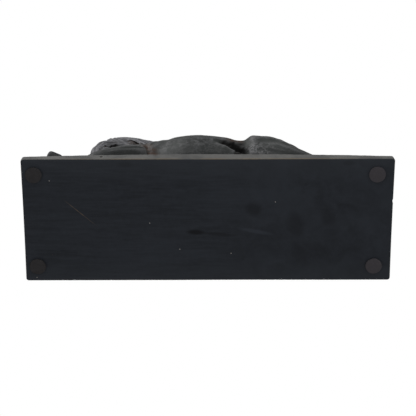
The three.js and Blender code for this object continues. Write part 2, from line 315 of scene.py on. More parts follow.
def workStrokes(mesh, strokes):
    # each stroke is (half width, height, points): it raises the skin along a line, or cuts it under 0
    tree = treeOf(mesh)
    places, normals = placesOf(mesh), normalsOf(mesh)
    moved = np.zeros_like(places)
    for halfWidth, height, points in strokes:
        halfWidth, height = halfWidth * mm, height * mm
        line = [np.array(tree.find_nearest(onHorse(*p))[0]) for p in smoothPath(points, 5)]
        low, high = np.min(line, 0) - halfWidth, np.max(line, 0) + halfWidth
        near = np.where(np.all((places > low) & (places < high), 1))[0]
        if not len(near):
            continue
        spots = places[near]
        nearest = np.full(len(near), 1e9)
        alongBest = np.zeros(len(near))
        for i in range(len(line) - 1):
            a, step = line[i], line[i + 1] - line[i]
            share = np.clip(((spots - a) @ step) / max(step @ step, 1e-12), 0, 1)
            distance = np.linalg.norm(spots - a - share[:, None] * step, axis=1)
            closer = distance < nearest
            nearest[closer] = distance[closer]
            alongBest[closer] = ((i + share) / (len(line) - 1))[closer]
        fade = np.clip(np.minimum(alongBest, 1 - alongBest) * 6 + 0.25, 0, 1)
        weight = np.clip(1 - (nearest / halfWidth) ** 2, 0, 1) ** 2 * fade
        moved[near] += normals[near] * (height * weight)[:, None]
    setPlaces(mesh, places + moved)


# the casting: horse and slab in one

casting = {
    "bodyVoxel": 1.6 * mm,
    "bodyRounds": 42,             # how far the joined forms run into one another
    "fineVoxel": 1.0 * mm,
    "fineRounds": 3,
    "surfaceGrain": 0.16 * mm,    # height of the unevenness
    "grainSize": 5 * mm,          # its width
    "grainFade": 3 * mm,          # above the underside, which stays flat
    "keepTriangles": 190000,
    "reliefStep": 1.6 * mm,       # height that counts as fully raised
    "shelterReach": 26 * mm,
    "hairReach": 2 * mm,
    # the slab is kept as the solid has it this far in from its sides, and this far under and over its top
    "trueBeside": 4 * mm,
    "trueUnder": 1.2 * mm,
    "trueOver": 0.6 * mm,
}
# places that keep their own edges while the body is blended: middle, reach, share of the blending
crispPlaces = [
    ((-40, 3, 52), 7, 0.08),      # ears
    ((-47, 2.4, 42), 9, 0.2),     # head and muzzle
    ((-56, 1, 29), 10, 0.16),
    ((-53, -19.4, 3.7), 5, 0.2),  # hooves
    ((-20, 10, 3), 5, 0.3),
    ((11, -19.2, 2.8), 5, 0.3),
    ((14, 12, 2.8), 5, 0.3),
    ((-48, -18, 3), 6, 0.35),     # lower legs
    ((-30, 8, 3), 7, 0.4),
    ((24, -18, 3), 9, 0.4),
    ((42, 4, 8), 12, 0.3),        # tail
]

muscleStrokes = [
    # shoulder, elbow and chest, near side
    (9, -1.1, [(-12, -17, 29), (-14.5, -20, 22), (-17.5, -21.5, 14), (-19.5, -21, 7), (-20.5, -20, 2)]),
    (6, 1.2, [(-17, -14, 29), (-20, -18, 23), (-23, -19.5, 17)]),
    (5, -1.5, [(-24, -18.6, 19), (-27, -18.4, 15), (-28.4, -18, 11)]),
    (4, -1.2, [(-21, -20, 12), (-25, -22, 9.5), (-30, -22.6, 7)]),
    (4, 1, [(-22, -21, 8), (-28, -23, 6.6), (-34, -22.4, 5)]),
    (3.2, -1, [(-40, -20.6, 4.4), (-44, -19.4, 3.4), (-47, -19.8, 3)]),
    (3, 1, [(-46.6, -19.6, 5), (-48.6, -20.6, 4), (-49.2, -21, 2.6)]),
    # neck
    (6, -1.6, [(-22, -13.4, 25), (-28, -13.6, 31), (-34, -11.4, 38), (-38.4, -7.2, 43)]),
    (5, -1.4, [(-30, -8, 19), (-33.6, -8, 25), (-37.4, -6.6, 32), (-40, -3.6, 37)]),
    # flank
    (11, -1.1, [(13, -14, 29), (10, -19, 23), (8.6, -21.4, 15), (8, -21, 8)]),
    # haunch
    (10, 0.6, [(20, -12, 29), (22, -17, 24), (20, -20, 18)]),
    (10, -0.7, [(26, -15, 28), (28.4, -18.6, 22), (28, -20.4, 16), (25, -21.4, 11)]),
    (5, -1.3, [(14, -21, 12), (19, -22.6, 9.6), (25, -22.4, 7), (31, -21, 5)]),
    (4, 1.1, [(24, -21.6, 13), (30, -20.8, 9), (36, -19, 6)]),
    (3, -1, [(34, -20, 5), (38, -19.4, 3.6)]),
    (3, -0.9, [(32, -19.4, 3.8), (24, -20.4, 3.2), (17, -21, 2.8)]),
    (3, 1, [(19.6, -20.8, 4.4), (18.6, -21.4, 3), (19, -21, 1.6)]),
    # spine
    (12, -0.3, [(-2, -8, 30.5), (8, -7.4, 30.2), (18, -5.4, 30.4), (29, -4, 28.2), (36, -2.8, 22)]),
    # the hollow between belly and haunch, and the crevice behind the elbow
    (7.5, -7, [
        (3.5, -21.6, 15), (6.8, -21.2, 15), (9, -20.5, 14.8),
        (11.2, -19.8, 13), (12.6, -19.4, 11), (13, -19, 8),
    ]),
    (6, -6, [(7.4, -20.8, 14), (10.6, -20, 13), (11.4, -19.6, 11.6), (10.6, -19.4, 9)]),
    (4.5, -3, [
        (-22.4, -18.4, 22), (-21.4, -18.8, 18), (-20.6, -19.6, 12), (-20, -19.4, 8), (-19.6, -19.4, 3),
    ]),
    # far side
    (10, -1, [(-12, 0, 28), (-14.5, 3.6, 21), (-17.5, 4.6, 14), (-20, 5, 8)]),
    (10, -0.8, [(13, 3, 28), (11, 7, 22), (10, 9, 15), (10, 9, 8)]),
    (5, -1.2, [(20, 11.4, 9), (26, 12.6, 7.4), (32, 12.6, 5)]),
]

# worked once the hair is on
fineStrokes = [
    # the dark gap under the locks, and the crease beside it
    (4.2, -4.6, [
        (-35.8, -16.8, 21.6), (-34.6, -16.2, 23.4), (-33.6, -16, 25),
        (-32.7, -15.6, 26.4), (-31.4, -15.2, 27.4),
    ]),
    (2.6, -1.8, [
        (-29.4, -15, 32.6), (-28, -15.4, 31.8), (-27, -15.5, 30.4), (-26.2, -15.4, 28.8), (-25.6, -16, 26.6),
    ]),
    # pit in the slab's front and nick in its right end
    (2, -3.4, [(-36.4, -22.9, -2), (-36.2, -22.9, -1.6), (-36, -22.9, -1.2)]),
    (2.6, -3, [(63.5, -7.3, -4), (63.5, -6.9, -3.4), (63.5, -6.4, -2.8)]),
    # mouth
    (1.8, -1.5, [(-59.4, 0.8, 24.6), (-58.4, -1.4, 25), (-56, -1.6, 26.6), (-53.8, -1.2, 28.6)]),
    (1.8, -1.5, [(-59.4, 0.8, 24.6), (-58.4, 3, 25), (-56, 3.6, 26.6), (-53.8, 3.8, 28.6)]),
]
# the same on both sides of the head: x and z of each point
cheekStrokes = [
    # upper and lower lid, and the groove inside each
    (1.5, 1.1, [(-50.6, 42.2), (-49.6, 44.2), (-47.6, 44.4), (-46.4, 43)]),
    (1.3, 0.7, [(-50.6, 42), (-49.2, 41.4), (-47.4, 41.6), (-46.4, 42.8)]),
    (1.1, -1, [(-50.2, 42.6), (-49.2, 43.5), (-47.8, 43.6), (-46.8, 42.9)]),
    (1.1, -0.9, [(-50.2, 42.2), (-49.2, 41.9), (-47.8, 42), (-46.8, 42.7)]),
    # hollow over the eye, cheekbone and the hollow under it, edge of the jaw
    (3, -0.8, [(-51.4, 44.4), (-49.4, 46), (-47, 46.2)]),
    (2.6, 0.9, [(-49.6, 40.2), (-51.6, 37.4), (-53.6, 34.4)]),
    (3, -0.8, [(-50.8, 36.4), (-53, 33.4), (-55, 30.6)]),
    (2.8, -1, [(-44.6, 43.6), (-44.6, 40.6), (-46.2, 38.4), (-49, 37.6)]),
    # nostril and its rim
    (2, -2.4, [(-59, 27.6), (-58.4, 27), (-57.8, 27), (-57.4, 27.6)]),
    (1.6, 0.8, [(-59.4, 28), (-58.6, 29), (-57.4, 29.2), (-56.6, 28)]),
]
eye = {"x": -48.5, "z": 42.7, "radius": 1.3, "sunk": 0.5}


def bothSides(tree, x, z):
    # where a line across the head enters it, from the near and the far side
    near = tree.ray_cast(onHorse(x, -30, z), (0, 1, 0))[0]
    far = tree.ray_cast(onHorse(x, 30, z), (0, -1, 0))[0]
    return near, far


def eyeBalls(tree):
    shape = bmesh.new()
    for place, outwards in zip(bothSides(tree, eye["x"], eye["z"]), (-1, 1)):
        ball = bmesh.ops.create_icosphere(shape, subdivisions=3, radius=eye["radius"] * horseUnit)["verts"]
        sunk = Vector((0, outwards * eye["sunk"] * horseUnit, 0))
        bmesh.ops.translate(shape, verts=ball, vec=place - sunk)
    mesh = bpy.data.meshes.new("eyeBalls")
    shape.to_mesh(mesh)
    shape.free()
    return mesh


def workCheeks(mesh):
    tree = treeOf(mesh)
    strokes = []
    for halfWidth, height, points in cheekStrokes:
        for side in (0, 1):
            line = [bothSides(tree, x, z)[side] for x, z in points]
            strokes.append((halfWidth, height, [offHorse(place) for place in line if place]))
    workStrokes(mesh, strokes)


def roughen(mesh, height, size):
    # small unevenness all over, as hand-worked wax leaves in a casting
    places, normals = placesOf(mesh), normalsOf(mesh)
    lift = np.array([noise.fractal(Vector(p) / size, 1, 2, 3) for p in places])
    onTop = np.clip((places[:, 2] - slabBottom) / casting["grainFade"] - 0.5, 0, 1)
    setPlaces(mesh, places + normals * (height * lift * onTop)[:, None])


def smoothValues(mesh, values, rounds):
    # each vertex takes the mean of itself and its neighbours
    ends = np.empty(len(mesh.edges) * 2, np.int32)
    mesh.edges.foreach_get("vertices", ends)
    a, b = ends.reshape(-1, 2).T
    count = np.bincount(a, minlength=len(values)) + np.bincount(b, minlength=len(values)) + 1
    for _ in range(rounds):
        total = np.bincount(a, values[b], len(values)) + np.bincount(b, values[a], len(values))
        values = (values + total) / count
    return values


def setAttribute(mesh, name, values):
    attribute = mesh.attributes.new(name, "FLOAT", "POINT")
    attribute.data.foreach_set("value", np.clip(values, 0, 1).astype(np.float32))


def markRelief(mesh):
    # rise is over 0.5 on raised places and under it in creases, shelter is how much stands round a place
    places, normals = placesOf(mesh), normalsOf(mesh)
    smooth = np.column_stack([smoothValues(mesh, places[:, axis], 8) for axis in range(3)])
    setAttribute(mesh, "rise", 0.5 + ((places - smooth) * normals).sum(1) / casting["reliefStep"])
    tree = treeOf(mesh)
    reach, lift = casting["shelterReach"], 0.5 * mm
    fan = [(0, 0, 1)] + [(0.8 * math.cos(t), 0.8 * math.sin(t), 0.6) for t in np.arange(7) * math.tau / 7]
    shelter = np.zeros(len(places))
    for i, vertex in enumerate(mesh.vertices):
        normal = vertex.normal
        side = normal.orthogonal().normalized()
        up = normal.cross(side)
        start = vertex.co + normal * lift
        for x, y, z in fan:
            distance = tree.ray_cast(start, side * x + up * y + normal * z, reach)[3]
            if distance is not None:
                shelter[i] += 1 - distance / reach
    setAttribute(mesh, "shelter", smoothValues(mesh, shelter / len(fan), 3))


# middle in hundredths of the horse and reach in mm of the places with painted shade (dark), a brown wash or
# rubbed pale
painted = {
    # painted shade: the hole by the haunch, the gap under the locks, the crevice, the pit and the nostrils,
    # darkened in colour
    "paintedShade": [
        ((5.6, -20.4, 16), 6), ((7.5, -20, 16), 8), ((9, -19.4, 15.6), 10), ((10.4, -19, 15), 12),
        ((11.6, -18.4, 13.6), 12), ((11.4, -19.4, 11), 10),
        ((-34.8, -16, 23), 5), ((-34.1, -16.1, 23.9), 6.5), ((-33.4, -15.9, 25.3), 7.5),
        ((-32.5, -15.5, 26.4), 7), ((-26.4, -15.4, 29.4), 4),
        ((11, -21.4, 3.4), 14), ((-20.6, -19.6, 13), 5), ((-21.2, -18.8, 17), 4), ((-36.2, -22.9, -1.6), 2.4),
        ((-58.2, -1.6, 27.2), 2.6), ((-58.2, 3.8, 27.2), 2.6),
    ],
    "wash": [
        ((-22, -18, 20), 8), ((-21.4, -18, 17.6), 11), ((-20.2, -18.7, 14.4), 10), ((-19.5, -19, 10.6), 10),
        ((-19.6, -20.6, 5), 8), ((-18, -22.6, -0.4), 4),
        ((8.4, -20.8, 18.4), 8), ((11, -20.2, 18.4), 7), ((5.4, -19.4, 6.6), 4), ((13.6, -19, 9.4), 6),
        ((-28, -15.6, 30), 5), ((30, -19, 5), 6),
    ],
    "rub": [
        ((15, -20.6, 12), 13), ((18.8, -21, 8.4), 13), ((14.4, -20.4, 6), 8),
        ((-38.2, -17.2, 19), 11), ((-39.2, -17.6, 13), 12), ((-39.8, -17.8, 7.6), 11), ((-49.6, -20, 4.4), 8),
    ],
}


def paintPlaces(mesh):
    places = placesOf(mesh)
    breaking = np.array([noise.fractal(Vector(p) * 220, 1, 2, 3) for p in places])
    for name, spots in painted.items():
        amount = np.zeros(len(places))
        for middle, reach in spots:
            away = np.linalg.norm(places - np.array(onHorse(*middle)), axis=1) / (reach * mm)
            amount = np.maximum(amount, np.clip(1.5 - 1.5 * away + 0.5 * breaking, 0, 1))
        setAttribute(mesh, name, amount)


def markHair(mesh, strandTree):
    reach = casting["hairReach"]
    away = [strandTree.find_nearest(v.co, reach)[3] for v in mesh.vertices]
    setAttribute(mesh, "hair", np.array([0 if d is None else 2 * (1 - d / reach) for d in away]))


def giveWeights(piece, name, weights):
    group = piece.vertex_groups.new(name=name)
    for step in range(1, 11):
        chosen = np.where(np.round(weights * 10) == step)[0]
        group.add(chosen.tolist(), step / 10, "REPLACE")


def aboveSlab(places):
    # 0 on the slab, 1 a little over it
    return np.clip((places[:, 2] - slabTop + 0.4 * mm) / (1.5 * mm), 0, 1)


def joinMeshes(name, meshes):
    whole = bmesh.new()
    for mesh in meshes:
        whole.from_mesh(mesh)
    bmesh.ops.remove_doubles(whole, verts=whole.verts, dist=weldDistance)
    made = bpy.data.meshes.new(name)
    whole.to_mesh(made)
    whole.free()
    piece = bpy.data.objects.new(name, made)
    bpy.context.collection.objects.link(piece)
    return piece


def cutAround(mesh, height):
    # a clean line round the slab, for two finishes to meet at
    whole = bmesh.new()
    whole.from_mesh(mesh)
    everything = whole.verts[:] + whole.edges[:] + whole.faces[:]
    middle, upwards = (0, 0, height), (0, 0, 1)
    bmesh.ops.bisect_plane(whole, geom=everything, dist=weldDistance, plane_co=middle, plane_no=upwards)
    bmesh.ops.triangulate(whole, faces=[f for f in whole.faces if len(f.verts) > 3])
    whole.to_mesh(mesh)
    whole.free()


def keepBiggestShell(mesh):
    # tiny closed shells that are left between the strands go
    whole = bmesh.new()
    whole.from_mesh(mesh)
    waiting = set(whole.verts)
    shells = []
    while waiting:
        front = [waiting.pop()]
        shell = list(front)
        while front:
            vertex = front.pop()
            fresh = [v for v in (edge.other_vert(vertex) for edge in vertex.link_edges) if v in waiting]
            waiting.difference_update(fresh)
            front += fresh
            shell += fresh
        shells.append(shell)
    shells.sort(key=len)
    bmesh.ops.delete(whole, geom=[v for shell in shells[:-1] for v in shell], context="VERTS")
    whole.to_mesh(mesh)
    whole.free()


def trueSlab(mesh, solid):
    # voxels round the slab's edges off: its sides and rims go back to where the solid has them
    tree = treeOf(solid)
    places = placesOf(mesh)
    outwards = np.maximum(np.abs(places[:, 0]) - castHigh.x, np.abs(places[:, 1]) - castHigh.y)
    beside = outwards > -casting["trueBeside"]
    low = places[:, 2] < slabTop - casting["trueUnder"]
    low |= beside & (places[:, 2] < slabTop + casting["trueOver"])
    for i in np.where(low)[0]:
        places[i] = tree.find_nearest(Vector(places[i]))[0]
    setPlaces(mesh, places)


def blendBody(solid):
    piece = joinMeshes("horseCasting", [solid])
    piece = applyModifier(piece, "REMESH", mode="VOXEL", voxel_size=casting["bodyVoxel"], adaptivity=0)
    places = placesOf(piece.data)
    weights = aboveSlab(places)
    for middle, reach, share in crispPlaces:
        away = np.linalg.norm(places - np.array(onHorse(*middle)), axis=1) / (reach * horseUnit)
        weights = np.minimum(weights, np.clip(share + (1 - share) * (2 * away - 1), share, 1))
    giveWeights(piece, "body", weights)
    piece = applyModifier(piece, "SMOOTH", factor=0.5, iterations=casting["bodyRounds"], vertex_group="body")
    workStrokes(piece.data, muscleStrokes)
    print("horse casting: body blended,", len(piece.data.vertices), "vertices")
    return piece


def joinHair(body, strands):
    skin = BVHTree.FromObject(body, bpy.context.evaluated_depsgraph_get())
    piece = joinMeshes("horseCasting", [body.data, strands.data, eyeBalls(skin)])
    bpy.data.objects.remove(body)
    bpy.data.objects.remove(strands)
    piece = applyModifier(piece, "REMESH", mode="VOXEL", voxel_size=casting["fineVoxel"], adaptivity=0)
    giveWeights(piece, "figure", aboveSlab(placesOf(piece.data)))
    return applyModifier(piece, "SMOOTH", factor=0.5, iterations=casting["fineRounds"], vertex_group="figure")


def makeCasting():
    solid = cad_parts["reclining_horse"].data
    body = blendBody(solid)
    strands = hairStrands()
    strandTree = BVHTree.FromObject(strands, bpy.context.evaluated_depsgraph_get())
    piece = joinHair(body, strands)
    trueSlab(piece.data, solid)
    workStrokes(piece.data, fineStrokes)
    workCheeks(piece.data)
    roughen(piece.data, casting["surfaceGrain"], casting["grainSize"])
    count = sum(len(p.vertices) - 2 for p in piece.data.polygons)
    print("horse casting: detailed,", count, "triangles")

    piece = applyModifier(piece, "DECIMATE", ratio=min(1, casting["keepTriangles"] / count))
    keepBiggestShell(piece.data)
    cutAround(piece.data, undersideRim)
    setPlaces(piece.data, np.clip(placesOf(piece.data), castLow, castHigh))
    markRelief(piece.data)
    markHair(piece.data, strandTree)
    paintPlaces(piece.data)
    print("horse casting: relief, hair and painted places marked")
    piece.name = piece.data.name = "horseCasting"
    piece.data.shade_smooth()
    return piece


# pads

padLook = {"sides": 64, "edgeBevel": 0.7 * mm, "wobble": 0.25 * mm}


def makePad(nodeName):
    low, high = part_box(nodeName)
    radius = (high.x - low.x) / 2
    centre = (low + high) / 2
    shape = bmesh.new()
    sides, depth = padLook["sides"], high.z - low.z
    bmesh.ops.create_cone(shape, cap_ends=True, segments=sides, radius1=radius, radius2=radius, depth=depth)
    rims = [e for e in shape.edges if abs(e.verts[0].co.z - e.verts[1].co.z) < 1e-6]
    bmesh.ops.bevel(
        shape, geom=rims, offset=padLook["edgeBevel"], offset_type="OFFSET", segments=3, profile=0.5,
        affect="EDGES", material=-1,
    )
    for v in shape.verts:
        away = v.co.xy.length / radius
        push = padLook["wobble"] * noise.noise(Vector((v.co.x, v.co.y, 9 * centre.x + centre.y)) * 160)
        v.co.xy *= 1 - abs(push) * away / radius
    bmesh.ops.translate(shape, verts=shape.verts, vec=centre)
    mesh = bpy.data.meshes.new(nodeName + "_felt")
    shape.to_mesh(mesh)
    shape.free()
    piece = bpy.data.objects.new(nodeName + "_felt", mesh)
    bpy.context.collection.objects.link(piece)
    mesh.shade_smooth()
    mesh.set_sharp_from_angle(angle=math.radians(40))
    return piece


# finishes

def put(tree, kind, links=None, **values):
    # one shader node: values are its settings, links its sockets by name or number
    node = tree.nodes.new(kind)
    for name, value in values.items():
        setattr(node, name, value)
    for name, value in (links or {}).items():
        socket = node.inputs[name]
        if isinstance(value, bpy.types.NodeSocket):
            tree.links.new(value, socket)
        else:
            socket.default_value = value
    return node


def between(tree, value, low, high, toLow=0.0, toHigh=1.0):
    settings = {0: value, 1: low, 2: high, 3: toLow, 4: toHigh}
    return put(tree, "ShaderNodeMapRange", settings, interpolation_type="SMOOTHSTEP").outputs[0]


def reckon(tree, operation, a, b=0.0):
    return put(tree, "ShaderNodeMath", {0: a, 1: b}, operation=operation).outputs[0]


def times(tree, a, b):
    return reckon(tree, "MULTIPLY", a, b)


def blend(tree, share, a, b):
    # from colour a to colour b
    node = put(tree, "ShaderNodeMix", data_type="RGBA", blend_type="MIX")
    for index, value in ((0, share), (6, a), (7, b)):
        if isinstance(value, bpy.types.NodeSocket):
            tree.links.new(value, node.inputs[index])
        else:
            node.inputs[index].default_value = (*value, 1) if isinstance(value, tuple) else value
    return node.outputs[2]


def marked(tree, name):
    return put(tree, "ShaderNodeAttribute", attribute_name=name).outputs["Fac"]


def splitAxes(tree, value):
    return put(tree, "ShaderNodeSeparateXYZ", {0: value}).outputs


def finish(tree, shader, tone, roughness, specular, strength, depth, height):
    # colour, shine and a bump of that strength and depth
    tree.links.new(tone, shader.inputs["Base Color"])
    if isinstance(roughness, bpy.types.NodeSocket):
        tree.links.new(roughness, shader.inputs["Roughness"])
    else:
        shader.inputs["Roughness"].default_value = roughness
    shader.inputs["Specular IOR Level"].default_value = specular
    bump = put(tree, "ShaderNodeBump", {"Strength": strength, "Distance": depth, "Height": height})
    tree.links.new(bump.outputs[0], shader.inputs["Normal"])


def newGroup(name, inputs, outputs):
    group = bpy.data.node_groups.new(name, "ShaderNodeTree")
    for label, kind, value in inputs:
        socket = group.interface.new_socket(name=label, in_out="INPUT", socket_type=kind)
        if value is not None:
            socket.default_value = value
    for label, kind in outputs:
        group.interface.new_socket(name=label, in_out="OUTPUT", socket_type=kind)
    return group, group.nodes.new("NodeGroupInput").outputs, group.nodes.new("NodeGroupOutput").inputs


def useGroup(tree, group, links):
    return put(tree, "ShaderNodeGroup", links, node_tree=group).outputs


def mottleGroup():
    # soft cloudy patches with finer ones inside
    given = [("Place", "NodeSocketVector", None), ("Scale", "NodeSocketFloat", 30.0)]
    made = [("Cloud", "NodeSocketFloat"), ("Grain", "NodeSocketFloat")]
    group, given, out = newGroup("mottle", given, made)
    place, scale = given["Place"], given["Scale"]
    coarse = put(group, "ShaderNodeTexNoise", {
        "Vector": place, "Scale": scale, "Detail": 5.0, "Roughness": 0.62,
    })
    grain = put(group, "ShaderNodeTexNoise", {
        "Vector": place, "Scale": times(group, scale, 14.0), "Detail": 3.0, "Roughness": 0.6,
    })
    group.links.new(coarse.outputs["Fac"], out["Cloud"])
    group.links.new(grain.outputs["Fac"], out["Grain"])
    return group


def specksGroup():
    # sparse light specks of dust
    given = [
        ("Place", "NodeSocketVector", None),
        ("Scale", "NodeSocketFloat", 120.0),
        ("Size", "NodeSocketFloat", 0.05),
        ("Share", "NodeSocketFloat", 0.1),
    ]
    group, given, out = newGroup("specks", given, [("Mask", "NodeSocketFloat")])
    settings = {"Vector": given["Place"], "Scale": given["Scale"]}
    cells = put(group, "ShaderNodeTexVoronoi", settings, feature="F1")
    pick = put(group, "ShaderNodeSeparateColor", {0: cells.outputs["Color"]})
    chosen = reckon(group, "LESS_THAN", pick.outputs[0], given["Share"])
    inSpeck = reckon(group, "LESS_THAN", cells.outputs["Distance"], given["Size"])
    group.links.new(times(group, chosen, inSpeck), out["Mask"])
    return group


def spotGroup():
    # a soft oval at a place, turned and sized
    given = [(name, "NodeSocketVector", None) for name in ("Place", "Centre", "Turn", "Half Size")]
    given.append(("Softness", "NodeSocketFloat", 0.5))
    group, given, out = newGroup("spot", given, [("Mask", "NodeSocketFloat")])
    settings = {
        "Vector": given["Place"],
        "Location": given["Centre"],
        "Rotation": given["Turn"],
        "Scale": given["Half Size"],
    }
    turned = put(group, "ShaderNodeMapping", settings, vector_type="TEXTURE")
    reach = put(group, "ShaderNodeVectorMath", {0: turned.outputs[0]}, operation="LENGTH").outputs["Value"]
    inner = reckon(group, "SUBTRACT", 1.0, given["Softness"])
    group.links.new(between(group, reach, inner, 1.0, 1.0, 0.0), out["Mask"])
    return group


mottle = mottleGroup()
specks = specksGroup()
spot = spotGroup()


def spotMask(tree, place, x, y, turn, halfLength, halfWidth, softness):
    # on the underside, x, y and sizes in mm
    return useGroup(tree, spot, {
        "Place": place,
        "Centre": (x * mm, y * mm, slabBottom),
        "Turn": (0, 0, turn),
        "Half Size": (halfLength * mm, halfWidth * mm, 1),
        "Softness": softness,
    })["Mask"]


def newMaterial(name):
    material = bpy.data.materials.new(name)
    material.use_nodes = True
    tree = material.node_tree
    shader = tree.nodes["Principled BSDF"]
    place = put(tree, "ShaderNodeTexCoord").outputs["Object"]
    return material, tree, shader, place


resinLook = {
    "dark": (0.0135, 0.0160, 0.0158),
    "middle": (0.042, 0.046, 0.0445),
    "worn": (0.160, 0.160, 0.166),
    "wash": (0.044, 0.022, 0.013),
    "deep": (0.004, 0.004, 0.0038),
    # pale tone of dust, and of painted light on upward faces
    "dustAndTopLightTone": (0.085, 0.085, 0.082),
    "speck": (0.25, 0.24, 0.22),
    "ochre": (0.170, 0.135, 0.092),
    "sideTone": (0.135, 0.133, 0.127),
    "sideDark": (0.085, 0.086, 0.084),
    "hairDark": (0.062, 0.062, 0.069),
    "hairLight": (0.190, 0.189, 0.204),
    "patchScale": 34.0,
    "nearSlabShadeBand": (44 * mm, 12 * mm),      # heights over the slab between which painted shade darkens the figure
    "ochreBand": (2.8 * mm, 0.6 * mm),  # heights over the underside between which the ochre comes in
    # how strongly each lies over the patina, 0 to 1
    "wornShare": 0.65,
    "dustShare": 0.4,
    "hairShare": 0.8,
    "nearSlabShadeShare": 0.78,   # painted shade near the slab
    "sideShare": 0.9,
    "creaseShare": 0.75,
    "rubShare": 0.85,
    "washShare": 0.9,
    "speckShare": 0.5,
}


def resinMaterial():
    # grey-green patina, worn pale where it stands out, with a brown wash and painted shade in the hollows
    look = resinLook
    material, tree, shader, place = newMaterial("wornResin")
    clouds = useGroup(tree, mottle, {"Place": place, "Scale": look["patchScale"]})
    cloud, grain = clouds["Cloud"], clouds["Grain"]
    rise, shelter = marked(tree, "rise"), marked(tree, "shelter")
    axes = splitAxes(tree, place)

    tone = blend(tree, between(tree, cloud, 0.36, 0.66), look["dark"], look["middle"])
    grainyRise = reckon(tree, "ADD", rise, times(tree, grain, 0.5))
    wear = between(tree, grainyRise, 0.76, 1.12)
    tone = blend(tree, times(tree, wear, look["wornShare"]), tone, look["worn"])
    # upward faces go paler: dust, and painted light falling from above
    facing = splitAxes(tree, put(tree, "ShaderNodeNewGeometry").outputs["Normal"])[2]
    dustAndTopLight = times(tree, between(tree, facing, 0.35, 1.0), between(tree, cloud, 0.42, 0.62))
    tone = blend(tree, times(tree, dustAndTopLight, look["dustShare"]), tone, look["dustAndTopLightTone"])

    # hair, painted shade on the forms near the slab, and the slab's side
    hairTone = blend(tree, between(tree, rise, 0.4, 0.75), look["hairDark"], look["hairLight"])
    tone = blend(tree, times(tree, marked(tree, "hair"), look["hairShare"]), tone, hairTone)
    # painted shade: the figure's colour darkens towards the slab, where the belly curves under
    shadeNearSlab = between(tree, axes[2], *(slabTop + height for height in look["nearSlabShadeBand"]))
    tone = blend(tree, times(tree, shadeNearSlab, look["nearSlabShadeShare"]), tone, look["dark"])
    onSlab = between(tree, axes[2], slabTop + 0.6 * mm, slabTop - 0.6 * mm)
    side = blend(tree, between(tree, cloud, 0.36, 0.6), look["sideDark"], look["sideTone"])
    tone = blend(tree, times(tree, onSlab, look["sideShare"]), tone, side)

    # brown in the creases, painted places, and dark where little light gets in
    brown = times(tree, between(tree, shelter, 0.2, 0.5), between(tree, cloud, 0.38, 0.56))
    crease = reckon(tree, "MAXIMUM", between(tree, rise, 0.36, 0.08), brown)
    tone = blend(tree, times(tree, crease, look["creaseShare"]), tone, look["wash"])
    rub = times(tree, marked(tree, "rub"), between(tree, grain, 0.42, 0.6))
    tone = blend(tree, times(tree, rub, look["rubShare"]), tone, look["worn"])
    tone = blend(tree, times(tree, marked(tree, "wash"), look["washShare"]), tone, look["wash"])
    # painted shade: sheltered hollows and the painted-shade places go near black
    deep = reckon(tree, "MAXIMUM", between(tree, shelter, 0.34, 0.72), marked(tree, "paintedShade"))
    tone = blend(tree, deep, tone, look["deep"])

    # ochre along the slab's lower edge, away from its ends
    lowEdge = between(tree, axes[2], *(slabBottom + height for height in look["ochreBand"]))
    patches = put(tree, "ShaderNodeTexNoise", {"Vector": place, "Scale": 26.0, "Detail": 4.0}).outputs["Fac"]
    middle = between(tree, reckon(tree, "ABSOLUTE", axes[0]), 200 * mm, 80 * mm)
    ochre = times(tree, times(tree, lowEdge, between(tree, patches, 0.32, 0.56)), middle)
    tone = blend(tree, ochre, tone, look["ochre"])
    dots = useGroup(tree, specks, {"Place": place, "Scale": 190.0, "Size": 0.07, "Share": 0.05})["Mask"]
    tone = blend(tree, times(tree, dots, look["speckShare"]), tone, look["speck"])

    roughness = reckon(tree, "MAXIMUM", between(tree, cloud, 0.3, 0.7, 0.5, 0.68), deep)
    finish(tree, shader, tone, roughness, specular=0.3, strength=0.35, depth=0.4 * mm, height=grain)
    return material


undersideLook = {
    "dark": (0.0135, 0.0162, 0.0218),
    "light": (0.0262, 0.0310, 0.0405),
    "edge": (0.036, 0.042, 0.051),
    "smearDark": (0.004, 0.0045, 0.007),
    "smearLight": (0.0393, 0.0465, 0.06075),
    "scratch": (0.115, 0.085, 0.062),
    "speck": (0.5, 0.47, 0.44),
    "cloudShare": 0.35,
    "dustShare": 0.35,
    "edgeShare": 0.35,
    # soft darker (under 0) and lighter (over 0) smears: x, y, turn, half length, half width in mm, strength
    "smears": [
        (-14, 14.5, 2, 14, 4.5, -0.95),
        (14, 17.5, 5, 24, 3.5, -0.5),
        (52, -14, 12, 13, 12, -0.55),
        (99.7, 5.8, 80, 24, 13, -0.45),
        (137, -4, 70, 17, 12, -0.4),
        (54, 13.5, 11, 26, 3.5, 0.6),
        (-93, -69, 0, 12, 5, -0.5),
        (158, -70.5, 0, 10, 4, -0.5),
        (120, 38, 20, 30, 16, -0.25),
        (40, -30, 0, 60, 14, 0.16),
        (-60, 40, 0, 90, 20, 0.14),
    ],
    # x and y of each light speck
    "specks": [(-178.6, -49.6), (-66.3, 2.9), (-32.3, 35.9), (26.5, 41.1), (76.4, -23.1), (-197.5, 71.5)],
    # x, y, turn, half length, half width
    "longScratch": (-144.2, -9.3, 41.53, 27.5, 0.55),
}


